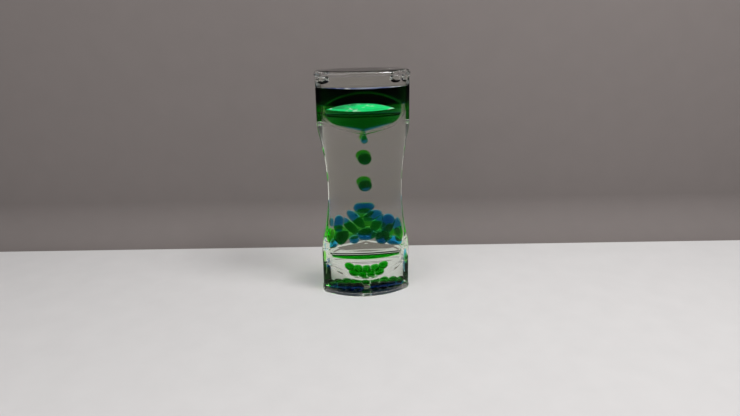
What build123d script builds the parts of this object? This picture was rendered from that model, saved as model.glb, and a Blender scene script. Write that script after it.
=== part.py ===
import os
from math import asin, degrees, sqrt

from build123d import *

# Overall body, in millimetres
total_height = 140.0
half_width = 27.5
half_depth = 14.75
side_half_depth = 4.25
waist_half_width = 22.4
waist_reach = 37.0
waist_blend = 25.0
edge_round = 1.6
wall = 2.0
divider_thickness = 1.2

# End caps and their filling holes
cap_slab = 2.8
cap_overhang = 0.5
cap_edge = 2.2
cap_lip = 0.4
cap_corner = 3.6
spigot_depth = 0.4
fit_gap = 0.15
fill_bore_radius = 1.7
fill_seat_radius = 2.9
fill_seat_depth = 1.2
fill_gap = 0.1
fill_sink = 0.2

# Dished baffles, funnels and flow plates at each end, with a passage past both sides
side_passage = 2.5
dish_clearance = 8.0
dish_rise = 8.0
dish_sheet = 1.2
dish_inset = 0.4
side_slot = 0.6
funnel_height = 16.2
funnel_slope = 0.22
funnel_sheet = 1.3
shoulder_radius = 10.5
ridge_radius = 3.0
nozzle_radius = 2.0
nozzle_bore = 1.1
nozzle_lip = 0.6
plate_lift = 5.5
plate_sheet = 0.8
plate_slot = 1.5

# Coloured liquids and the clear oil
headspace = 6.2
left_hang = 6.7
right_hang = 4.7
pendant_radius = 2.1
pendant_length = 5.4
drop_radius = 3.9
drop_half_height = 3.55
floor_radius = 2.3
floor_spacing = 0.4
dish_drop_radius = 1.5
dish_drop_half_width = 2.3
dish_spacing = 0.3
rest_gap = 0.15
oil_gap = 0.05
path_gap = 0.3

# Shares of the free height: above, between and below the falling drops
rise_share = 0.25
between_share = 0.42

mid_z = total_height / 2
beyond = 4 * half_width
corner_reach = 0.1
half_turn = 180
up = (Align.CENTER, Align.CENTER, Align.MIN)
cap_inner = cap_slab + spigot_depth
divider_half = divider_thickness / 2
bulge = half_depth - side_half_depth
arc_radius = (half_width**2 + bulge**2) / (2 * bulge)
arc_centre = arc_radius - half_depth
inner_half_width = half_width - wall
waist_sag = half_width - waist_half_width
waist_radius = (waist_reach**2 + waist_sag**2) / (2 * waist_sag)
dish_low = cap_inner + dish_clearance
funnel_rim = dish_low + dish_rise + side_slot
funnel_tip = funnel_rim + funnel_height
funnel_level = funnel_rim + funnel_height / 2
liquid_level = total_height - cap_inner - headspace


# Half the depth of the plan at a given distance from the centre line
def depth_at(x, inset):
    return sqrt((arc_radius - inset)**2 - x**2) - arc_centre


# Half the inner width of the body at a given height
def side_at(z):
    waist = waist_half_width + waist_radius - sqrt(waist_radius**2 - (z - mid_z)**2)
    return min(half_width, waist) - wall


# Middle of one compartment, front to back
def mid_y(x):
    return (divider_half + depth_at(x, wall)) / 2


# Plan with bowed front and back, cut off square at a given half width
def plan(inset, w):
    d = half_depth - inset
    s = depth_at(w, inset)
    front = ThreePointArc((-w, -s), (0, -d), (w, -s))
    right = Line((w, -s), (w, s))
    back = ThreePointArc((w, s), (0, d), (-w, s))
    left = Line((-w, s), (-w, -s))
    return make_face([front, right, back, left])


def upright(sketch):
    return extrude(Plane.XZ * sketch, amount=2 * half_depth, both=True)


def outline(inset):
    low = mid_z - waist_reach
    high = mid_z + waist_reach
    edges = [
        Line((-half_width, 0), (half_width, 0)),
        Line((half_width, 0), (half_width, low)),
        ThreePointArc((half_width, low), (waist_half_width, mid_z), (half_width, high)),
        Line((half_width, high), (half_width, total_height)),
        Line((half_width, total_height), (-half_width, total_height)),
        Line((-half_width, total_height), (-half_width, high)),
        ThreePointArc((-half_width, high), (-waist_half_width, mid_z), (-half_width, low)),
        Line((-half_width, low), (-half_width, 0)),
    ]
    face = make_face(edges)
    corners = face.vertices().filter_by_position(Axis.Y, low - corner_reach, high + corner_reach)
    face = fillet(corners, waist_blend)
    if inset:
        face = offset(face, amount=-inset)
    return face


def slab(low, high):
    return Pos(0, 0, low) * Box(beyond, beyond, high - low, align=up)


# Everything in front of the divider, set back from it by a gap
def front_half(gap):
    block = Box(beyond, beyond, 2 * total_height, align=(Align.CENTER, Align.MAX, Align.CENTER))
    return Pos(0, -divider_half - gap, mid_z) * block


def vessel(inset):
    bowed = plan(inset, half_width + edge_round)
    column = Pos(0, 0, mid_z) * extrude(bowed, amount=total_height, both=True)
    return column & upright(outline(inset))


# Front compartment, shrunk by a gap on every side
def room(gap):
    space = vessel(wall + gap) & front_half(gap)
    return space & slab(cap_inner + gap, total_height - cap_inner - gap)


def to_back(solid):
    return mirror(solid, about=Plane.XZ)


def to_top(solid):
    return mirror(solid, about=Plane.XY.offset(mid_z))


# Clear body, in a front and a back half with the divider between
body = vessel(0) & slab(cap_slab, total_height - cap_slab)
long_edges = [e for e in body.edges() if e.bounding_box().size.Z > edge_round]
body = fillet(long_edges, edge_round)
walls = body - vessel(wall)
front_shell = walls & front_half(0)
back_shell = to_back(front_shell)
divider = extrude(Plane.XZ * outline(0), amount=divider_half, both=True)
divider = divider & slab(cap_slab, total_height - cap_slab)

# End caps, each with two spigots that locate the halves of the body
cap_plan = plan(-cap_overhang, half_width + cap_overhang)
cap_plan = fillet(cap_plan.vertices(), cap_corner)
cap = extrude(cap_plan, cap_slab, dir=(0, 0, 1))
cap = fillet(cap.edges().group_by(Axis.Z)[0], cap_edge)
cap = fillet(cap.edges().group_by(Axis.Z)[-1], cap_lip)
spigot = vessel(wall + fit_gap) & front_half(fit_gap) & slab(cap_slab, cap_inner)
cap = cap + spigot + to_back(spigot)
top_cap = to_top(cap)

# Filling holes in the lower cap, one for each compartment, and their plugs
drip_y = -mid_y(0)
seat = Pos(0, drip_y, 0) * Cylinder(fill_seat_radius, 2 * fill_seat_depth)
bore = Pos(0, drip_y, 0) * Cylinder(fill_bore_radius, 4 * cap_inner)
bottom_cap = cap - seat - bore - to_back(seat) - to_back(bore)
head_height = fill_seat_depth - fill_gap - fill_sink
shank_height = cap_inner - fill_seat_depth
plug_head = Pos(0, drip_y, fill_sink) * Cylinder(fill_seat_radius - fill_gap, head_height, align=up)
plug_shank = Cylinder(fill_bore_radius - fill_gap, shank_height + fill_gap, align=up)
front_fill_plug = plug_head + Pos(0, drip_y, fill_seat_depth - fill_gap) * plug_shank
back_fill_plug = to_back(front_fill_plug)


# Gabled section of a funnel with rounded shoulders
def roof(half, tip, shoulder, ridge):
    eave = tip - funnel_slope * half
    points = [(-half, funnel_rim), (half, funnel_rim), (half, eave), (0, tip), (-half, eave)]
    face = make_face(Polyline(*points, close=True))
    eaves = face.vertices().filter_by_position(Axis.Y, eave - corner_reach, eave + corner_reach)
    face = fillet(eaves, shoulder)
    peak = face.vertices().sort_by(Axis.Y)[-1]
    return fillet(peak, ridge)


# Funnel cups, one in each compartment at each end
funnel_half_width = side_at(funnel_level) - side_passage
slope_sheet = funnel_sheet * sqrt(1 + funnel_slope**2)
inner_tip = funnel_tip - slope_sheet
outer_roof = roof(funnel_half_width, funnel_tip, shoulder_radius, ridge_radius)
inner_half = funnel_half_width - funnel_sheet
inner_roof = roof(inner_half, inner_tip, shoulder_radius - funnel_sheet, ridge_radius - funnel_sheet)
cup_outer = upright(outer_roof) & room(fit_gap)
cup_inner = upright(inner_roof) & room(fit_gap + funnel_sheet)
nozzle_top = funnel_tip + nozzle_lip
nozzle_root = inner_tip - funnel_sheet
nozzle = Pos(0, drip_y, nozzle_root) * Cylinder(nozzle_radius, nozzle_top - nozzle_root, align=up)
nozzle = nozzle - cup_inner
drip_bore = Pos(0, drip_y, funnel_rim) * Cylinder(nozzle_bore, total_height, align=up)
lower_front_funnel = cup_outer - cup_inner + nozzle - drip_bore
lower_back_funnel = to_back(lower_front_funnel)
upper_front_funnel = to_top(lower_front_funnel)
upper_back_funnel = to_back(upper_front_funnel)

# Flow plates across the cups, open at both ends
plate_z = funnel_rim + plate_lift
plate_band = slab(plate_z, plate_z + plate_sheet)
plate_block = Pos(0, 0, mid_z) * Box(2 * (inner_half - plate_slot), beyond, 2 * total_height)
lower_front_plate = room(fit_gap + funnel_sheet) & plate_band & plate_block
lower_back_plate = to_back(lower_front_plate)
upper_front_plate = to_top(lower_front_plate)
upper_back_plate = to_back(upper_front_plate)

# Dished baffles between each funnel and its cap
dish_half_width = funnel_half_width - dish_inset
dish_radius = (dish_half_width**2 + dish_rise**2) / (2 * dish_rise)
dish_centre = dish_low + dish_radius
dish_ring = Pos(0, dish_centre) * (Circle(dish_radius) - Circle(dish_radius - dish_sheet))
dish_window = Pos(0, dish_low) * Rectangle(2 * dish_half_width, 2 * dish_rise)
lower_front_baffle = upright(dish_ring & dish_window) & room(fit_gap)
lower_back_baffle = to_back(lower_front_baffle)
upper_front_baffle = to_top(lower_front_baffle)
upper_back_baffle = to_back(upper_front_baffle)


# One drop, long in the direction of its tilt from the horizontal
def drop(x, y, z, long, short, tilt=0, turn=0):
    arc = EllipticalCenterArc((0, 0), long, short, arc_size=half_turn)
    half = make_face([arc, Line((-long, 0), (long, 0))])
    return Pos(x, y, z) * Rot(0, -tilt, turn) * revolve(half, Axis.X)


# A falling drop on the line below the front nozzle, wider than it is tall
def falling_drop(z):
    return Pos(0, drip_y, z) * scale(Sphere(drop_radius), by=(1, 1, drop_half_height / drop_radius))


# Upper reservoir in front, with the drop that hangs from its nozzle
rim_z = total_height - funnel_rim
nozzle_z = total_height - nozzle_top
passage = funnel_half_width + fit_gap
left_tongue = Box(beyond, beyond, left_hang, align=(Align.MAX, Align.CENTER, Align.MAX))
left_tongue = Pos(-passage, 0, rim_z) * left_tongue
right_tongue = Box(beyond, beyond, right_hang, align=(Align.MIN, Align.CENTER, Align.MAX))
right_tongue = Pos(passage, 0, rim_z) * right_tongue
pool = room(fit_gap) & (slab(rim_z, liquid_level) + left_tongue + right_tongue)
throat = Pos(0, drip_y, nozzle_z) * Cylinder(nozzle_bore, rim_z - nozzle_z, align=up)
belly_z = pendant_radius - pendant_length
neck = Line((nozzle_bore, 0), (pendant_radius, belly_z))
belly = RadiusArc((pendant_radius, belly_z), (0, -pendant_length), pendant_radius)
axis_line = Line((0, -pendant_length), (0, 0))
pendant_face = make_face([neck, belly, axis_line, Line((0, 0), (nozzle_bore, 0))])
pendant = Pos(0, drip_y, nozzle_z) * revolve(Plane.XZ * pendant_face, Axis.Z)
blue_reservoir = pool + to_top(cup_inner) + throat + pendant - upper_front_baffle - upper_front_plate
green_reservoir = to_back(blue_reservoir)

# Drops heaped over the lower funnels, where the body has this inner half width at this height
# over the funnel tip: place across, height over the tip, half lengths and tilt
heap_level = 7.9
heap_width = 22.9
heap_scale = side_at(funnel_tip + heap_level) / heap_width
blue_heap = [
    (-0.8, 22.5, 4.4, 2.8, 0),
    (3.6, 17.0, 4.4, 2.4, 15),
    (-5.3, 14.8, 5.6, 2.1, -48),
    (6.5, 12.0, 4.9, 2.1, 58),
    (12.9, 11.0, 4.5, 3.5, 90),
    (19.0, 7.9, 4.8, 2.1, 100),
    (-9.3, 10.6, 5.3, 2.0, -50),
    (-15.6, 11.6, 4.1, 2.6, 85),
    (-19.9, 12.4, 2.1, 1.1, 90),
    (0.4, 5.2, 4.7, 3.0, 5),
    (9.6, 3.0, 3.9, 3.3, 90),
    (-6.8, 1.7, 2.2, 2.0, 30),
    (-14.6, 3.2, 4.4, 3.0, 60),
    (-19.3, -2.1, 3.1, 1.7, 70),
    (16.9, -1.1, 4.0, 2.3, -16),
]
green_heap = [
    (-0.4, 15.9, 4.0, 2.5, 8),
    (0.2, 10.2, 4.4, 2.7, 0),
    (6.9, 6.4, 3.6, 2.7, 30),
    (-6.5, 6.2, 3.6, 2.7, -30),
    (0.2, 4.3, 3.3, 2.4, 0),
    (12.8, 2.4, 4.4, 2.9, 85),
    (-13.2, 2.6, 4.4, 2.9, 88),
    (18.8, 0.6, 3.9, 2.1, 95),
    (-19.1, 1.2, 3.9, 2.1, 86),
    (6.4, 0.9, 3.0, 2.0, -12),
    (-6.6, 0.9, 3.0, 2.0, 12),
]


def heap(places, side):
    drops = []
    for across, lift, long, short, tilt in places:
        x = across * heap_scale
        z = funnel_tip + lift * heap_scale
        drops.append(drop(x, side * mid_y(x), z, long * heap_scale, short * heap_scale, tilt))
    return Compound(children=drops)


blue_heap_drops = heap(blue_heap, -1)
green_heap_drops = heap(green_heap, 1)

# Falling drops, two of each colour, with room above and below to move in
heap_top = blue_heap_drops.bounding_box().max.Z
pendant_end = nozzle_z - pendant_length
free_height = pendant_end - heap_top - 4 * drop_half_height
upper_drop_z = pendant_end - rise_share * free_height - drop_half_height
lower_drop_z = upper_drop_z - between_share * free_height - 2 * drop_half_height
blue_upper_drop = falling_drop(upper_drop_z)
blue_lower_drop = falling_drop(lower_drop_z)
green_upper_drop = to_back(blue_upper_drop)
green_lower_drop = to_back(blue_lower_drop)

# Rows of drops across the floor of each compartment
floor_pitch = 2 * floor_radius + floor_spacing


def floor_row(steps, side):
    row = []
    for step in steps:
        x = step * floor_pitch
        reach = depth_at(abs(x) + floor_radius, wall) - divider_half
        long = reach / 2 - rest_gap
        short = min(floor_radius, long)
        z = cap_inner + rest_gap + short
        row.append(drop(x, side * (divider_half + reach / 2), z, long, short, 0, 90))
    return Compound(children=row)


blue_floor_drops = floor_row([-4, -3, -2, -1, 1, 2, 3, 4], -1)
green_floor_drops = floor_row(range(-4, 5), 1)

# Green drops left lying in the lower front dish, in two rows one over the other and two deep
dish_pitch = 2 * dish_drop_half_width + dish_spacing
row_pitch = 2 * dish_drop_radius + dish_spacing
dish_rows = []
for level, steps in ((0, (-1.5, -0.5, 0.5, 1.5)), (1, (-2, -1, 0, 1, 2))):
    ride = dish_radius - dish_sheet - dish_drop_radius - rest_gap - level * row_pitch
    for step in steps:
        x = step * dish_pitch
        z = dish_centre - sqrt(ride**2 - x**2)
        tilt = degrees(asin(x / ride))
        for place in (-0.5, 0.5):
            y = place * row_pitch - mid_y(x)
            dish_rows.append(drop(x, y, z, dish_drop_half_width, dish_drop_radius, tilt))
green_dish_drops = Compound(children=dish_rows)

# Drops squeezing down the side passages past the lower funnels and dishes
passage_x = funnel_half_width + side_passage / 2
passage_depth = depth_at(inner_half_width, wall) - divider_half
passage_radius = min(side_passage, passage_depth) / 2 - rest_gap
passage_y = divider_half + rest_gap + passage_radius
side_drop_half = funnel_height / 4
upper_side_z = funnel_rim + side_drop_half
lower_side_z = dish_low + dish_rise - side_drop_half


def side_drop(side_x, side_y, z):
    return drop(side_x * passage_x, side_y * passage_y, z, side_drop_half, passage_radius, 90)


blue_side_drops = Compound(children=[
    side_drop(1, -1, upper_side_z),
    side_drop(1, -1, lower_side_z),
])
green_side_drops = Compound(children=[
    side_drop(1, 1, funnel_rim),
    side_drop(-1, 1, upper_side_z),
    side_drop(-1, 1, lower_side_z),
])

# Clear oil that fills the rest of each compartment
path_radius = drop_radius + path_gap
path_low = heap_top + path_radius
path_high = pendant_end - path_radius
path = Pos(0, drip_y, path_low) * Cylinder(path_radius, path_high - path_low, align=up)
path = path + Pos(0, drip_y, path_low) * Sphere(path_radius)
path = path + Pos(0, drip_y, path_high) * Sphere(path_radius)
oil = room(oil_gap) - path - blue_reservoir
oil = oil - lower_front_funnel - lower_front_plate - lower_front_baffle
oil = oil - upper_front_funnel - upper_front_plate - upper_front_baffle
front_oil = oil
for group in (blue_heap_drops, blue_floor_drops, green_dish_drops, blue_side_drops):
    front_oil = front_oil - group.solids()
back_oil = to_back(oil)
for group in (green_heap_drops, green_floor_drops, green_side_drops):
    back_oil = back_oil - group.solids()

nodes = {
    "front_shell": front_shell,
    "back_shell": back_shell,
    "divider": divider,
    "top_cap": top_cap,
    "bottom_cap": bottom_cap,
    "front_fill_plug": front_fill_plug,
    "back_fill_plug": back_fill_plug,
    "upper_front_funnel": upper_front_funnel,
    "upper_back_funnel": upper_back_funnel,
    "lower_front_funnel": lower_front_funnel,
    "lower_back_funnel": lower_back_funnel,
    "upper_front_plate": upper_front_plate,
    "upper_back_plate": upper_back_plate,
    "lower_front_plate": lower_front_plate,
    "lower_back_plate": lower_back_plate,
    "upper_front_baffle": upper_front_baffle,
    "upper_back_baffle": upper_back_baffle,
    "lower_front_baffle": lower_front_baffle,
    "lower_back_baffle": lower_back_baffle,
    "front_oil": front_oil,
    "back_oil": back_oil,
    "blue_reservoir": blue_reservoir,
    "green_reservoir": green_reservoir,
    "blue_upper_drop": blue_upper_drop,
    "blue_lower_drop": blue_lower_drop,
    "green_upper_drop": green_upper_drop,
    "green_lower_drop": green_lower_drop,
    "blue_heap_drops": blue_heap_drops,
    "green_heap_drops": green_heap_drops,
    "blue_floor_drops": blue_floor_drops,
    "green_floor_drops": green_floor_drops,
    "green_dish_drops": green_dish_drops,
    "blue_side_drops": blue_side_drops,
    "green_side_drops": green_side_drops,
}
os.makedirs("parts", exist_ok=True)
for name, solid in nodes.items():
    export_step(solid, f"parts/{name}.step")
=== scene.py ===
import math

import bmesh
import bpy
from mathutils import Matrix, Vector


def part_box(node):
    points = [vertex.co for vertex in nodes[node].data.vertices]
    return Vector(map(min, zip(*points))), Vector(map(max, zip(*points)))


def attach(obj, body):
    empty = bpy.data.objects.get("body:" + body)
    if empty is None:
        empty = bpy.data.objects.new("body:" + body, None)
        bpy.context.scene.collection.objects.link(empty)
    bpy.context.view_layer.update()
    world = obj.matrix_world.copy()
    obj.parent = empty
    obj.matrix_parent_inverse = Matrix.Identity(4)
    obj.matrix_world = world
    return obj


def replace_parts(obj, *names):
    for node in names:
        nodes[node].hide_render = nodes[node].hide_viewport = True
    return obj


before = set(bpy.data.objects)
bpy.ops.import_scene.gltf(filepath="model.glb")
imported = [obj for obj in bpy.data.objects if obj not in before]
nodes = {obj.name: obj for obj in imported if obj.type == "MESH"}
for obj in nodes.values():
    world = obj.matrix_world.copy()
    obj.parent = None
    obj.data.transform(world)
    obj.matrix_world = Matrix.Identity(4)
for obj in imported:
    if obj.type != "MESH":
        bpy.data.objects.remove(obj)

bpy.context.view_layer.update()
scene = bpy.context.scene
scene.view_settings.view_transform = "Standard"
scene.cycles.max_bounces = 32  # many clear walls lie behind each other
scene.cycles.transmission_bounces = 32
scene.cycles.transparent_max_bounces = 64
mm = 0.001
white = (1, 1, 1, 1)
even = (1.0, 1.0, 1.0)  # a pattern that isn't stretched
print("frame loaded", len(nodes), "nodes")


class Wire:  # one socket of a node tree, with the sums that are used on it
    def __init__(self, tree, socket=None):
        self.tree = tree
        self.socket = socket

    def node(self, kind, settings, values, out=0):
        made = self.tree.nodes.new(kind)
        for key, value in settings.items():
            setattr(made, key, value)
        for key, value in values.items():
            if isinstance(value, Wire):
                self.tree.links.new(value.socket, made.inputs[key])
            else:
                made.inputs[key].default_value = value
        return Wire(self.tree, made.outputs[out] if len(made.outputs) else None)

    def math(self, operation, first, second):
        return self.node("ShaderNodeMath", {"operation": operation}, {0: first, 1: second})

    def __add__(self, other):
        return self.math("ADD", self, other)

    def __radd__(self, other):
        return self.math("ADD", other, self)

    def __mul__(self, other):
        return self.math("MULTIPLY", self, other)

    def __rmul__(self, other):
        return self.math("MULTIPLY", other, self)


def newMaterial(name):
    material = bpy.data.materials.new(name)
    material.use_nodes = True
    material.node_tree.nodes.clear()
    return material, Wire(material.node_tree)


def place(start, scale):  # the piece's own coordinates, stretched for a pattern
    coords = start.node("ShaderNodeTexCoord", {}, {}, out="Object")
    return start.node("ShaderNodeMapping", {}, {"Vector": coords, "Scale": scale})


def noise(start, where, scale, detail=2.0):
    return start.node("ShaderNodeTexNoise", {}, {"Vector": where, "Scale": scale, "Detail": detail})


def lampsThrough(start, glass, tint):  # lamps reach what lies behind the clear piece
    lampRay = start.node("ShaderNodeLightPath", {}, {}, out="Is Shadow Ray")
    passing = start.node("ShaderNodeBsdfTransparent", {}, {"Color": tint})
    return start.node("ShaderNodeMixShader", {}, {0: lampRay, 1: glass, 2: passing})


def output(start, **shaders):
    start.node("ShaderNodeOutputMaterial", {}, shaders)


acrylic = {
    "ior": 1.48, "tint": (0.985, 0.995, 0.99, 1), "shade": (0.82, 0.81, 0.8, 1), "stretch": (1.0, 1.0, 0.6),
    "waveScale": 45.0, "waveHeight": 0.03 * mm, "waveStrength": 0.5,
    "smearScale": 90.0, "smearDetail": 4.0, "smear": 0.02,
    "capShine": 1.0, "shellShine": 0.15,  # the photo's front face mirrors no floor
}


def acrylicMaterial(name, shine):
    material, start = newMaterial(name)
    where = place(start, acrylic["stretch"])
    wave = noise(start, where, acrylic["waveScale"])
    smear = noise(start, where, acrylic["smearScale"], acrylic["smearDetail"])
    bump = start.node("ShaderNodeBump", {}, {
        "Strength": acrylic["waveStrength"], "Distance": acrylic["waveHeight"], "Height": wave,
    })
    glass = start.node("ShaderNodeBsdfPrincipled", {}, {
        "Base Color": acrylic["tint"],
        "Roughness": smear * acrylic["smear"],
        "IOR": acrylic["ior"],
        "Transmission Weight": 1.0,
        "Specular Tint": (shine, shine, shine, 1),
        "Normal": bump,
    })
    output(start, Surface=lampsThrough(start, glass, acrylic["shade"]))
    return material


clearTints = {"wettedFace": (0.995, 0.998, 0.99, 1), "clearOil": (0.99, 0.996, 0.975, 1)}
cloudScale = 80.0


def clearMaterial(name):  # wetted faces and oil, which look like one with the acrylic
    material, start = newMaterial(name)
    cloud = noise(start, place(start, even), cloudScale)
    first = start.node("ShaderNodeBsdfTransparent", {}, {"Color": white})
    second = start.node("ShaderNodeBsdfTransparent", {}, {"Color": clearTints[name]})
    output(start, Surface=start.node("ShaderNodeMixShader", {}, {0: cloud, 1: first, 2: second}))
    return material


insert = {"ior": 1.02, "tint": (0.985, 0.99, 0.985, 1), "shade": (0.97, 0.98, 0.97, 1),
          "smearScale": 120.0, "smearDetail": 3.0, "smear": 0.02}


def insertMaterial():
    material, start = newMaterial("insertAcrylic")
    smear = noise(start, place(start, even), insert["smearScale"], insert["smearDetail"])
    glass = start.node("ShaderNodeBsdfGlass", {}, {
        "Color": insert["tint"],
        "Roughness": smear * insert["smear"],
        "IOR": insert["ior"],
    })
    output(start, Surface=lampsThrough(start, glass, insert["shade"]))
    return material


dyes = {  # colour of each dye, and its strength per metre in each place; the same liquid is given a denser dye in the top band and the shoulders, which is painted shade
    "blue": {"colour": (0.02, 0.79, 0.93), "drop": 1050.0, "small": 1600.0, "bowl": 460.0, "shoulder": 900.0,
             "band": 2200.0},
    "green": {"colour": (0.40, 0.94, 0.10), "drop": 1000.0, "small": 2600.0, "bowl": 620.0, "shoulder": 1300.0,
              # the film strength dyes the lower front plate dense green, a painted reflection
              "band": 3600.0, "film": 5200.0},
}
bends = {"drop": 1.05, "still": 1.002, "arc": 1.04}  # how far a liquid bends light against the oil
liquid = {"swirlScale": 150.0, "swirl": 0.01, "shade": (0.5, 0.48, 0.47, 1)}


def dye(start, kind, strength):
    return start.node("ShaderNodeVolumeAbsorption", {}, {
        "Color": (*dyes[kind]["colour"], 1),
        "Density": dyes[kind][strength],
    })


def liquidMaterial(name, kind, strength, bend):
    material, start = newMaterial(name)
    swirl = noise(start, place(start, even), liquid["swirlScale"])
    glass = start.node("ShaderNodeBsdfGlass", {}, {
        "Color": white,
        "Roughness": swirl * liquid["swirl"],
        "IOR": bends[bend],
    })
    output(start, Surface=lampsThrough(start, glass, liquid["shade"]), Volume=dye(start, kind, strength))
    return material


levelTop = {"ior": 0.93, "rippleScale": 120.0, "rippleStrength": 0.3, "rippleHeight": 0.1 * mm}


def surfaceMaterial(kind):  # the level top of a reservoir, which mirrors at a low angle
    material, start = newMaterial(kind + "Surface")
    ripple = noise(start, place(start, even), levelTop["rippleScale"])
    bump = start.node("ShaderNodeBump", {}, {
        "Strength": levelTop["rippleStrength"], "Distance": levelTop["rippleHeight"], "Height": ripple,
    })
    glass = start.node("ShaderNodeBsdfGlass", {}, {"Color": white, "IOR": levelTop["ior"], "Normal": bump})
    output(start, Surface=lampsThrough(start, glass, white), Volume=dye(start, kind, "band"))
    return material


def blend(start, factor, first, second):  # a colour between two others
    return start.node("ShaderNodeMix", {"data_type": "RGBA"}, {"Factor": factor, 6: first, 7: second}, out=2)


def stretched(start, value, low, high):  # a pattern spread over the whole of 0 to 1
    return start.node("ShaderNodeMapRange", {}, {"Value": value, "From Min": low, "From Max": high})


gleams = {  # painted highlights: deep and bright streaks, and pale sparks
    # a painted bright green highlight along the front cup's rim
    "rimHighlightPaint": ((0.0, 0.16, 0.04, 1), (0.0, 0.85, 0.22, 1), (0.8, 1.0, 0.85, 1)),
    # a painted glint and navy reflection for the liquid's level top
    "surfaceGlintPaint": ((0.02, 0.04, 0.2, 1), (0.5, 0.55, 0.62, 1), (1.0, 1.0, 1.0, 1)),
}
gleam = {
    "streakScale": 260.0, "streakDetail": 2.0, "streakStretch": (0.12, 0.5, 1.6), "streakRange": (0.36, 0.54),
    "sparkScale": 520.0, "sparkDetail": 3.0, "sparkStretch": (0.35, 1.0, 1.0), "sparkRange": (0.56, 0.7),
    "roughness": 0.3, "roughened": 0.15,
}


def gleamMaterial(name):  # the skin of a thin sheet on the wall, with a highlight painted into its base colour
    deep, bright, pale = gleams[name]
    material, start = newMaterial(name)
    sparks = noise(start, place(start, gleam["sparkStretch"]), gleam["sparkScale"], gleam["sparkDetail"])
    streaks = noise(start, place(start, gleam["streakStretch"]), gleam["streakScale"], gleam["streakDetail"])
    body = blend(start, stretched(start, streaks, *gleam["streakRange"]), deep, bright)
    skin = start.node("ShaderNodeBsdfPrincipled", {}, {
        "Base Color": blend(start, stretched(start, sparks, *gleam["sparkRange"]), body, pale),
        "Roughness": gleam["roughness"] + sparks * gleam["roughened"],
    })
    output(start, Surface=skin)
    return material


air = {"ior": 0.68, "swirlScale": 200.0, "swirl": 0.01}


def airMaterial():
    material, start = newMaterial("airBubble")
    swirl = noise(start, place(start, even), air["swirlScale"])
    glass = start.node("ShaderNodeBsdfGlass", {}, {"Roughness": swirl * air["swirl"], "IOR": air["ior"]})
    output(start, Surface=lampsThrough(start, glass, white))
    return material


capAcrylic = acrylicMaterial("capAcrylic", acrylic["capShine"])
shellAcrylic = acrylicMaterial("shellAcrylic", acrylic["shellShine"])
wettedFace = clearMaterial("wettedFace")
insertAcrylic = insertMaterial()
dropOf = {kind: liquidMaterial(kind + "Drop", kind, "drop", "drop") for kind in dyes}
smallOf = {kind: liquidMaterial(kind + "Small", kind, "small", "drop") for kind in dyes}
bandOf = {kind: liquidMaterial(kind + "Band", kind, "band", "still") for kind in dyes}
bowlOf = {kind: liquidMaterial(kind + "Bowl", kind, "bowl", "still") for kind in dyes}
shoulderOf = {kind: liquidMaterial(kind + "Shoulder", kind, "shoulder", "still") for kind in dyes}
arcOf = {kind: liquidMaterial(kind + "Arc", kind, "bowl", "arc") for kind in dyes}
surfaceOf = {kind: surfaceMaterial(kind) for kind in dyes}
# a dense green dye standing in for reflected green: painted reflection
paintedGreenReflection = liquidMaterial("paintedGreenReflection", "green", "film", "still")
rimHighlightPaint = gleamMaterial("rimHighlightPaint")
surfaceGlintPaint = gleamMaterial("surfaceGlintPaint")
airBubble = airMaterial()
clearOil = clearMaterial("clearOil")
print("materials made", len(bpy.data.materials))


def pieceFrom(mesh, name, *materials):
    data = bpy.data.meshes.new(name)
    mesh.to_mesh(data)
    mesh.free()
    for material in materials:
        data.materials.append(material)
    made = bpy.data.objects.new(name, data)
    scene.collection.objects.link(made)
    return made


def dress(name, *materials):
    mesh = nodes[name].data
    mesh.materials.clear()
    for material in materials:
        mesh.materials.append(material)
    return mesh


shape = {"probe": 1.3 * mm, "sideRun": 37 * mm, "waist": 22.4 * mm, "sideDepth": 4.25 * mm}
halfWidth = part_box("front_shell")[1].x
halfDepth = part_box("back_shell")[1].y
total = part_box("top_cap")[1].z
bulge = halfDepth - shape["sideDepth"]
bowRadius = (halfWidth ** 2 + bulge ** 2) / (2 * bulge)
bowCentre = bowRadius - halfDepth
waistSag = halfWidth - shape["waist"]
waistRadius = (shape["sideRun"] ** 2 + waistSag ** 2) / (2 * waistSag)


def depthAt(x, inset=0.0):
    return math.sqrt(max((bowRadius - inset) ** 2 - x * x, 0)) - bowCentre


def sideAt(z):
    away = abs(z - total / 2)
    return min(halfWidth, shape["waist"] + waistRadius - math.sqrt(waistRadius ** 2 - away ** 2))


def insideHull(point):
    if point.z < 0 or point.z > total:
        return False
    return abs(point.x) <= sideAt(point.z) and abs(point.y) <= depthAt(point.x)


def dressClear(name, outside):  # clear acrylic on the outside, wetted faces within
    mesh = dress(name, outside, wettedFace)
    for face in mesh.polygons:
        ahead = face.center + face.normal * shape["probe"]
        face.material_index = 1 if insideHull(ahead) else 0


for name in ("front_shell", "back_shell", "divider"):
    dressClear(name, shellAcrylic)
for name in ("top_cap", "bottom_cap", "front_fill_plug", "back_fill_plug"):
    dressClear(name, capAcrylic)
for side, kind in (("front", "blue"), ("back", "green")):
    for end in ("upper", "lower"):
        dress(f"{end}_{side}_funnel", insertAcrylic)
    dress(f"lower_{side}_plate", paintedGreenReflection if side == "front" else insertAcrylic)  # the front one is dyed dense green as a painted reflection of the green drops around it
    dress(f"lower_{side}_baffle", insertAcrylic)
    dress(f"upper_{side}_plate", insertAcrylic)
    dress(f"upper_{side}_baffle", arcOf[kind])
    for part in ("upper_drop", "lower_drop", "side_drops"):
        dress(f"{kind}_{part}", dropOf[kind])
print("nodes dressed")


weld = 0.002 * mm
allSmooth = 180.0  # no edge of the mesh stays sharp


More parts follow.
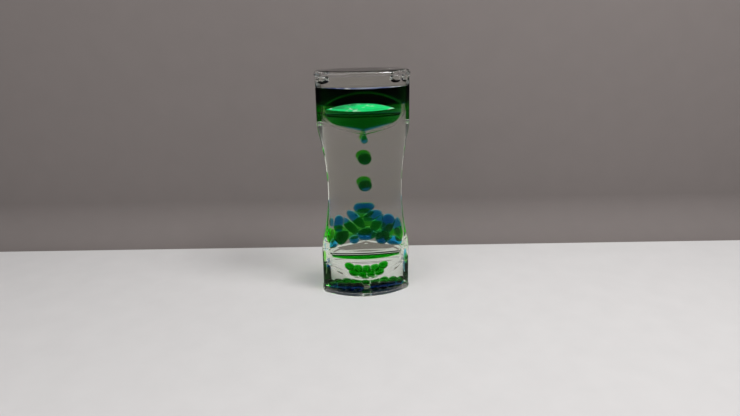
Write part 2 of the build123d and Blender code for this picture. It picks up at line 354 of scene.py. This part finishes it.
def cleanCopy(nodeName):  # a node's mesh with its loose triangles joined
    mesh = bmesh.new()
    mesh.from_mesh(nodes[nodeName].data)
    bmesh.ops.remove_doubles(mesh, verts=mesh.verts[:], dist=weld)
    bmesh.ops.recalc_face_normals(mesh, faces=mesh.faces[:])
    mesh.normal_update()
    return mesh


def finishMesh(mesh, sharpAngle):  # smooth faces, with the true edges kept sharp
    for face in mesh.faces:
        face.smooth = True
    for edge in mesh.edges:
        edge.smooth = edge.calc_face_angle(0.0) < math.radians(sharpAngle)


def steadyNormals(piece):  # broad faces rule the shading
    steady = piece.modifiers.new("steadyNormals", "WEIGHTED_NORMAL")
    steady.mode = "FACE_AREA_WITH_ANGLE"
    steady.keep_sharp = True


pool = {"film": 0.07 * mm, "seam": 0.03 * mm, "sharpAngle": 28.0, "drawn": 0.95, "throat": 2.5 * mm,
        "shoulder": 3.0 * mm, "cutReach": 0.001 * mm, "levelFace": 0.9}
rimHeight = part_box("upper_front_funnel")[1].z
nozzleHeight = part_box("upper_front_funnel")[0].z
shoulderHeight = rimHeight - pool["shoulder"]
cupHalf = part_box("upper_front_funnel")[1].x
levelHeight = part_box("blue_reservoir")[1].z
levelLow = levelHeight - 2 * pool["film"]


def cutOff(mesh, height, keepAbove):
    everything = mesh.verts[:] + mesh.edges[:] + mesh.faces[:]
    bmesh.ops.bisect_plane(mesh, geom=everything, dist=pool["cutReach"], plane_co=(0, 0, height),
                           plane_no=(0, 0, 1), clear_inner=keepAbove, clear_outer=not keepAbove)
    bmesh.ops.holes_fill(mesh, edges=[edge for edge in mesh.edges if edge.is_boundary])
    bmesh.ops.recalc_face_normals(mesh, faces=mesh.faces[:])


def drawIn(mesh):  # the blue stands off its cup, all but in the throat
    low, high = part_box("blue_upper_drop")
    middle = (low + high) / 2
    for vert in mesh.verts:
        if math.hypot(vert.co.x - middle.x, vert.co.y - middle.y) > pool["throat"]:
            vert.co.z = rimHeight + (vert.co.z - rimHeight) * pool["drawn"]


def makeReservoir(kind):  # the liquid stands a film of oil clear of its cup
    whole = cleanCopy(f"{kind}_reservoir")
    moves = [vert.normal * (vert.calc_shell_factor() * pool["film"]) for vert in whole.verts]
    for vert, move in zip(whole.verts, moves):
        vert.co -= move
    # the Band and Shoulder layers get denser dye than the Bowl, as painted shade on the same liquid
    layers = {
        "Band": (rimHeight + pool["seam"], None, bandOf[kind]),
        "Shoulder": (shoulderHeight + pool["seam"], rimHeight - pool["seam"], shoulderOf[kind]),
        "Bowl": (nozzleHeight + pool["seam"], shoulderHeight - pool["seam"], bowlOf[kind]),
        "Pendant": (None, nozzleHeight - pool["seam"], dropOf[kind]),
    }
    for layer, (low, high, material) in layers.items():
        mesh = whole.copy()
        if low is not None:
            cutOff(mesh, low, True)
        if high is not None:
            cutOff(mesh, high, False)
        if kind == "blue":  # only the green hangs on in the passages
            hung = [v for v in mesh.verts if abs(v.co.x) > cupHalf and v.co.z < rimHeight]
            bmesh.ops.delete(mesh, geom=hung, context="VERTS")
            if layer in ("Shoulder", "Bowl"):
                drawIn(mesh)
        mesh.normal_update()
        finishMesh(mesh, pool["sharpAngle"])
        for face in mesh.faces:
            atLevel = face.normal.z > pool["levelFace"] and face.calc_center_median().z > levelLow
            face.material_index = 1 if atLevel else 0
        piece = pieceFrom(mesh, kind + layer, material, surfaceOf[kind])
        steadyNormals(piece)
        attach(piece, "timer")
        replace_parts(piece, f"{kind}_reservoir")
    whole.free()


for kind in dyes:
    makeReservoir(kind)
print("reservoirs filled")

press = {"soft": 0.4 * mm, "gap": 0.06 * mm, "wallGap": 2.25 * mm, "midGap": 0.8 * mm, "detail": 4, "sag": 0.72}
cup = {"slope": 0.22, "lip": 0.6 * mm, "dishSheet": 1.2 * mm}
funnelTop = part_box("lower_front_funnel")[1].z
dishLow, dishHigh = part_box("lower_front_baffle")
dishRise = dishHigh.z - dishLow.z
dishRadius = (dishHigh.x ** 2 + dishRise ** 2) / (2 * dishRise)
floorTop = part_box("bottom_cap")[1].z
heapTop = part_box("blue_heap_drops")[1].z
across = Vector((0, 1, 0))  # through the object, from front to back


def held(value, limit, soft):  # eases a length off towards its limit
    start = limit - soft
    if value <= start:
        return value
    return limit - soft * math.exp(-(value - start) / soft)


def overFunnel(x, z):  # lowest and highest a heaped drop may reach
    roof = funnelTop - cup["lip"] - cup["slope"] * abs(x) + press["gap"]
    return x, held(-held(-z, -roof, press["soft"]), heapTop, press["soft"])


def overFloor(x, z):  # the drops on the floor sag into pools
    sunk = floorTop + (z - floorTop) * press["sag"]
    return x, -held(-sunk, -(floorTop + press["gap"]), press["soft"])


def overDish(x, z):  # the drops in the dish lie in its round
    middle = dishLow.z + dishRadius
    far = math.hypot(x, z - middle)
    share = held(far, dishRadius - cup["dishSheet"] - press["gap"], press["soft"]) / far
    return x * share, middle + (z - middle) * share


def islands(mesh):  # the separate drops of one node
    seen = set()
    for first in mesh.verts:
        if first in seen:
            continue
        seen.add(first)
        grown = [first]
        for vert in grown:
            for edge in vert.link_edges:
                other = edge.other_vert(vert)
                if other not in seen:
                    seen.add(other)
                    grown.append(other)
        yield [vert.co.copy() for vert in grown]


def longWay(points, centre):  # direction of a drop's long axis in the front view
    xx = sum((p.x - centre.x) ** 2 for p in points)
    zz = sum((p.z - centre.z) ** 2 for p in points)
    xz = sum((p.x - centre.x) * (p.z - centre.z) for p in points)
    turn = 0.5 * math.atan2(2 * xz, xx - zz)
    return Vector((math.cos(turn), 0, math.sin(turn)))


def reachOf(line, along, reach, thick, deep):  # how far a drop reaches in one direction
    sides = (reach * line.dot(along), deep * line.dot(across), thick * line.dot(along.cross(across)))
    return math.sqrt(sum(s * s for s in sides))


def measured(nodeName, swell):  # place, direction and half sizes of each drop of a node, swollen
    mesh = cleanCopy(nodeName)
    drops = []
    for points in islands(mesh):
        low = Vector(map(min, zip(*points)))
        high = Vector(map(max, zip(*points)))
        centre = (low + high) / 2
        along = longWay(points, centre)
        reach = max((p - centre).dot(along) for p in points) * swell[0]
        thick = max((p - centre).dot(along.cross(across)) for p in points) * swell[0]
        drops.append((centre, along, reach, thick, (high.y - low.y) / 2 * swell[1]))
    mesh.free()
    return drops


def makePressed(name, nodeName, kind, look, side, swell, rest):  # drops flattened on each other and on walls
    drops = measured(nodeName, swell)
    mesh = bmesh.new()
    for centre, along, reach, thick, deep in drops:
        turn = Matrix((along, across, along.cross(across))).transposed().to_4x4()
        grow = Matrix.Translation(centre) @ turn @ Matrix.Diagonal((reach, deep, thick, 1))
        ball = bmesh.ops.create_icosphere(mesh, subdivisions=press["detail"], radius=1.0, matrix=grow)["verts"]
        for other, otherAlong, otherReach, otherThick, otherDeep in drops:
            line = other - centre
            span = line.length
            if span == 0:
                continue
            line.normalize()
            mine = reachOf(line, along, reach, thick, deep)
            theirs = reachOf(line, otherAlong, otherReach, otherThick, otherDeep)
            if span > mine + theirs + press["soft"]:
                continue
            limit = span * mine / (mine + theirs) - press["gap"]
            for vert in ball:
                far = (vert.co - centre).dot(line)
                vert.co += line * (held(far, limit, press["soft"]) - far)
        for vert in ball:
            wallAt = sideAt(vert.co.z) - press["wallGap"]
            x = math.copysign(held(abs(vert.co.x), wallAt, press["soft"]), vert.co.x)
            x, z = rest(x, vert.co.z)
            y = held(side * vert.co.y, depthAt(x) - press["wallGap"], press["soft"])
            y = -held(-y, -press["midGap"], press["soft"])
            vert.co = (x, side * y, z)
    finishMesh(mesh, allSmooth)
    piece = pieceFrom(mesh, name, look[kind])
    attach(piece, "timer")
    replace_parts(piece, nodeName)


pressed = {  # side -1 is the front; swell is how much a drop grows in the front view, and through the object
    "blueHeap": {"nodeName": "blue_heap_drops", "kind": "blue", "look": dropOf, "side": -1,
                 "swell": (1.4, 1.3), "rest": overFunnel},
    "greenHeap": {"nodeName": "green_heap_drops", "kind": "green", "look": dropOf, "side": 1,
                  "swell": (1.36, 1.25), "rest": overFunnel},
    "blueFloorRow": {"nodeName": "blue_floor_drops", "kind": "blue", "look": smallOf, "side": -1,
                     "swell": (1.45, 1.5), "rest": overFloor},
    "greenFloorRow": {"nodeName": "green_floor_drops", "kind": "green", "look": smallOf, "side": 1,
                      "swell": (1.2, 1.2), "rest": overFloor},
    "greenDishRows": {"nodeName": "green_dish_drops", "kind": "green", "look": smallOf, "side": -1,
                      "swell": (1.4, 1.7), "rest": overDish},
}
for name, settings in pressed.items():
    makePressed(name, **settings)
print("drops pressed together")

bubbles = {  # place in the plan and half sizes, in millimetres
    "leftBubble": {"at": (-20.8, 3.6), "half": (4.0, 2.6, 2.6)},
    "leftSpeck": {"at": (-24.2, 2.2), "half": (1.2, 1.1, 1.3)},
    "rightBubble": {"at": (17.4, 4.3), "half": (3.4, 2.9, 2.6)},
    "cornerBubble": {"at": (22.8, 2.7), "half": (2.1, 1.7, 2.4)},
}
bubbleFit = {"ceilingGap": 0.1 * mm, "detail": 4, "soft": 0.5 * mm, "hang": 0.8}
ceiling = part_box("top_cap")[1].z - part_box("bottom_cap")[1].z


def makeBubble(name):  # air caught under the upper cap, flat on top
    settings = bubbles[name]
    x, y = (v * mm for v in settings["at"])
    half = [v * mm for v in settings["half"]]
    top = ceiling - bubbleFit["ceilingGap"]
    mesh = bmesh.new()
    grow = Matrix.Translation((x, y, top - half[2] * bubbleFit["hang"])) @ Matrix.Diagonal((*half, 1))
    bmesh.ops.create_icosphere(mesh, subdivisions=bubbleFit["detail"], radius=1.0, matrix=grow)
    for vert in mesh.verts:
        vert.co.z = held(vert.co.z, top, bubbleFit["soft"])
    finishMesh(mesh, allSmooth)
    piece = pieceFrom(mesh, name, airBubble)
    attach(piece, "timer")


for name in bubbles:
    makeBubble(name)

slivers = {  # thin sheets that carry painted highlights: ends and level in millimetres, with the rise over the level and the sag below it
    "paintedRimHighlight": {"from": -21.2, "to": 17.8, "level": 118.2, "rise": 4.0, "sag": 0.7},
    "paintedSurfaceGlint": {"from": -24.2, "to": 24.2, "level": 130.6, "rise": 0.35, "sag": 0.5},
}
sliverFit = {"thick": 0.03 * mm, "inset": 2.06 * mm, "detail": 5}


def makeSliver(name, material):  # a thin sheet between the front wall and what stands behind it, which carries a painted highlight
    settings = {key: value * mm for key, value in slivers[name].items()}
    mesh = bmesh.new()
    middle = (settings["from"] + settings["to"]) / 2
    half = (settings["to"] - settings["from"]) / 2
    bmesh.ops.create_icosphere(mesh, subdivisions=sliverFit["detail"], radius=1.0)
    for vert in mesh.verts:
        x = middle + vert.co.x * half
        taper = math.sqrt(max(1 - vert.co.x ** 2, 0))
        lift = (settings["rise"] if vert.co.z > 0 else settings["sag"]) * taper
        y = vert.co.y * sliverFit["thick"] - depthAt(x, sliverFit["inset"])
        vert.co = (x, y, settings["level"] + vert.co.z * lift)
    finishMesh(mesh, allSmooth)
    piece = pieceFrom(mesh, name, material)
    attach(piece, "timer")


# a sheet painted with the bright green highlight along the front cup's rim
makeSliver("paintedRimHighlight", rimHighlightPaint)
# a sheet painted with a glint and a navy reflection along the liquid's level top
makeSliver("paintedSurfaceGlint", surfaceGlintPaint)
print("bubbles caught")

oil = {"steps": 24, "arcSteps": 24, "inset": 2.2 * mm, "midGap": 0.75 * mm, "endGap": 4.1 * mm,
       "sharpAngle": 30.0}


def makeOil(name, side):  # the clear oil of one compartment, from floor to ceiling
    mesh = bmesh.new()
    radius = bowRadius - oil["inset"]
    half = halfWidth - oil["inset"]
    low = oil["endGap"]
    first = mesh.verts.new((-half, side * depthAt(half, oil["inset"]), low))
    sweep = 2 * math.asin(half / radius)
    bmesh.ops.spin(mesh, geom=[first], cent=(0, -side * bowCentre, low), axis=(0, 0, -side),
                   angle=sweep, steps=oil["arcSteps"], use_merge=False, use_duplicate=False)
    ends = sorted(mesh.verts, key=lambda v: v.co.x)
    corners = [mesh.verts.new((v.co.x, side * oil["midGap"], low)) for v in (ends[0], ends[-1])]
    for pair in ((ends[0], corners[0]), corners, (ends[-1], corners[1])):
        mesh.edges.new(pair)
    face = bmesh.ops.contextual_create(mesh, geom=mesh.edges[:])["faces"][0]
    step = (total - 2 * low) / oil["steps"]
    width = half
    for count in range(oil["steps"]):
        grown = bmesh.ops.extrude_face_region(mesh, geom=[face])["geom"]
        if count:  # the floor stays, the faces between the steps would lie inside
            bmesh.ops.delete(mesh, geom=[face], context="FACES_ONLY")
        face = next(g for g in grown if isinstance(g, bmesh.types.BMFace))
        ring = [g for g in grown if isinstance(g, bmesh.types.BMVert)]
        height = low + (count + 1) * step
        bmesh.ops.translate(mesh, verts=ring, vec=(0, 0, step))
        bmesh.ops.scale(mesh, verts=ring, vec=((sideAt(height) - oil["inset"]) / width, 1, 1))
        width = sideAt(height) - oil["inset"]
    bmesh.ops.recalc_face_normals(mesh, faces=mesh.faces[:])
    finishMesh(mesh, oil["sharpAngle"])
    piece = pieceFrom(mesh, name, clearOil)
    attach(piece, "timer")
    return piece


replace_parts(makeOil("frontOil", -1), "front_oil")
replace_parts(makeOil("backOil", 1), "back_oil")
print("oil filled in")

stageSet = {
    "size": 3.0, "floorColour": (0.70, 0.685, 0.68), "wallColour": (0.215, 0.19, 0.182),
    "wallAt": 0.1, "wallHeight": 1.6, "bend": 0.03, "bendSteps": 12, "lift": 0.0002, "turn": -4.6,
    "clothScale": 60.0, "clothDetail": 6.0, "darker": 0.96, "lighter": 1.04,
}


def plainMaterial(name, colour, oneSided):
    material, start = newMaterial(name)
    cloth = noise(start, place(start, even), stageSet["clothScale"], stageSet["clothDetail"])
    first, second = ((*[c * stageSet[key] for c in colour], 1) for key in ("darker", "lighter"))
    solid = start.node("ShaderNodeBsdfDiffuse", {}, {"Color": blend(start, cloth, first, second)})
    if oneSided:
        behind = start.node("ShaderNodeNewGeometry", {}, {}, out="Backfacing")
        gone = start.node("ShaderNodeBsdfTransparent", {}, {})
        solid = start.node("ShaderNodeMixShader", {}, {0: behind, 1: solid, 2: gone})
    output(start, Surface=solid)
    return material


def makeFloor():
    mesh = bmesh.new()
    bmesh.ops.create_grid(mesh, x_segments=1, y_segments=1, size=stageSet["size"])
    return pieceFrom(mesh, "floor", plainMaterial("paleFloor", stageSet["floorColour"], False))


def makeWall():
    mesh = bmesh.new()
    bendAt = stageSet["wallAt"] - stageSet["bend"]
    first = mesh.verts.new((-stageSet["size"], bendAt, stageSet["lift"]))
    bmesh.ops.spin(mesh, geom=[first], cent=(0, bendAt, stageSet["bend"] + stageSet["lift"]), axis=(1, 0, 0),
                   angle=math.pi / 2, steps=stageSet["bendSteps"], use_merge=False, use_duplicate=False)
    top = max(mesh.verts, key=lambda v: v.co.z)
    lift = bmesh.ops.extrude_vert_indiv(mesh, verts=[top])["verts"]
    bmesh.ops.translate(mesh, verts=lift, vec=(0, 0, stageSet["wallHeight"]))
    spread = bmesh.ops.extrude_edge_only(mesh, edges=mesh.edges[:])["geom"]
    bmesh.ops.translate(mesh, verts=[g for g in spread if isinstance(g, bmesh.types.BMVert)],
                        vec=(2 * stageSet["size"], 0, 0))
    bmesh.ops.recalc_face_normals(mesh, faces=mesh.faces[:])
    for face in mesh.faces:
        if face.normal.y > 0:
            face.normal_flip()
        face.smooth = True
    turn = Matrix.Rotation(math.radians(stageSet["turn"]), 3, "Z")
    bmesh.ops.rotate(mesh, verts=mesh.verts[:], cent=(0, 0, 0), matrix=turn)
    return pieceFrom(mesh, "backdrop", plainMaterial("greyBackdrop", stageSet["wallColour"], True))


makeFloor()
makeWall()
print("stage set")

lamps = {
    "key": {"at": (0.35, -0.25, 0.62), "to": (0, 0, 0.05), "size": 0.22, "power": 2.9},
    "fill": {"at": (-0.45, -0.4, 0.5), "to": (0, 0, 0.06), "size": 0.5, "power": 1.6},
    "top": {"at": (0.0, -0.15, 0.6), "to": (0, 0, 0.14), "size": 0.3, "power": 0.9},
}
for name, lamp in lamps.items():
    data = bpy.data.lights.new(name, "AREA")
    data.size = lamp["size"]
    data.energy = lamp["power"]
    made = bpy.data.objects.new(name, data)
    made.location = lamp["at"]
    made.rotation_euler = (Vector(lamp["to"]) - Vector(lamp["at"])).to_track_quat("-Z", "Y").to_euler()
    scene.collection.objects.link(made)

studio = {"Color": (0.9, 0.92, 0.95, 1), "Strength": 0.15}
world = bpy.data.worlds.new("studio")
world.use_nodes = True
for key, value in studio.items():
    world.node_tree.nodes["Background"].inputs[key].default_value = value
scene.world = world

view = {"at": (-23.2 * mm, -331.2 * mm, 166 * mm), "focal": 556, "width": 740, "sensor": 36, "nearest": 0.01,
        "pitch": 18.5, "heading": -4.604, "roll": -0.9}  # focal and width in pixels of the photo
pitch, heading, roll = (math.radians(view[key]) for key in ("pitch", "heading", "roll"))
forward = Vector((-math.sin(heading) * math.cos(pitch), math.cos(heading) * math.cos(pitch), -math.sin(pitch)))
right = Vector((math.cos(heading), math.sin(heading), 0))
above = right.cross(forward)
camRight = math.cos(roll) * right + math.sin(roll) * above
camAbove = -math.sin(roll) * right + math.cos(roll) * above
lens = bpy.data.cameras.new("photoCamera")
lens.sensor_width = view["sensor"]
lens.sensor_fit = "HORIZONTAL"
lens.lens = view["focal"] / view["width"] * lens.sensor_width
lens.clip_start = view["nearest"]
camera = bpy.data.objects.new("photoCamera", lens)
turned = Matrix((camRight, camAbove, -forward)).transposed().to_4x4()
camera.matrix_world = Matrix.Translation(view["at"]) @ turned
scene.collection.objects.link(camera)
scene.camera = camera
print("camera and lamps placed")
